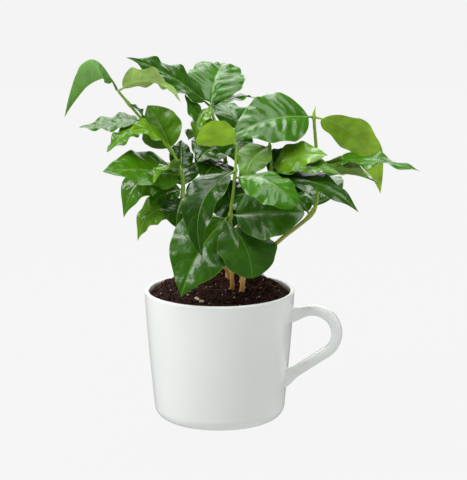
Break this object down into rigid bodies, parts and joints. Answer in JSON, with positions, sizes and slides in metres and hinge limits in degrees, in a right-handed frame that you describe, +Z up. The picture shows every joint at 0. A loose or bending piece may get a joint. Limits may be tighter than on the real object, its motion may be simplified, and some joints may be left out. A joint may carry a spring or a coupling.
{
  "type": "potted coffee plant",
  "caption": "Young coffee plant with glossy, wavy, pointed leaves on slender stems, growing from dark mounded soil in a plain white glazed mug with a side handle.",
  "frame": {"origin": "centre of the mug's flat underside, on the surface it stands on", "axes": "+Z up along the mug's axis, +X towards the handle, -Y towards the pictured side, about ten degrees off the camera"},
  "size_m": [0.2232, 0.1529, 0.2356],
  "materials": {
    "glaze": "soft gloss, cool white",
    "soil": "crumbly, dark brown, matt",
    "stems": "green to yellow-brown bark, matt",
    "foliage": "glossy green, paler and matt underneath"
  },
  "bodies": {
    "root": {"mug": "glaze", "soil": "soil", "stem_left": "stems", "stem_front": "stems", "stem_mid": "stems", "stem_right": "stems", "stem_back": "stems", "stem_rear": "stems", "foliage_left_low": "foliage", "foliage_left_top": "foliage", "foliage_front_low": "foliage", "foliage_front_top": "foliage", "foliage_mid": "foliage", "foliage_right_low": "foliage", "foliage_right_top": "foliage", "foliage_back_low": "foliage", "foliage_back_top": "foliage", "foliage_rear": "foliage"}
  },
  "joints": []
}
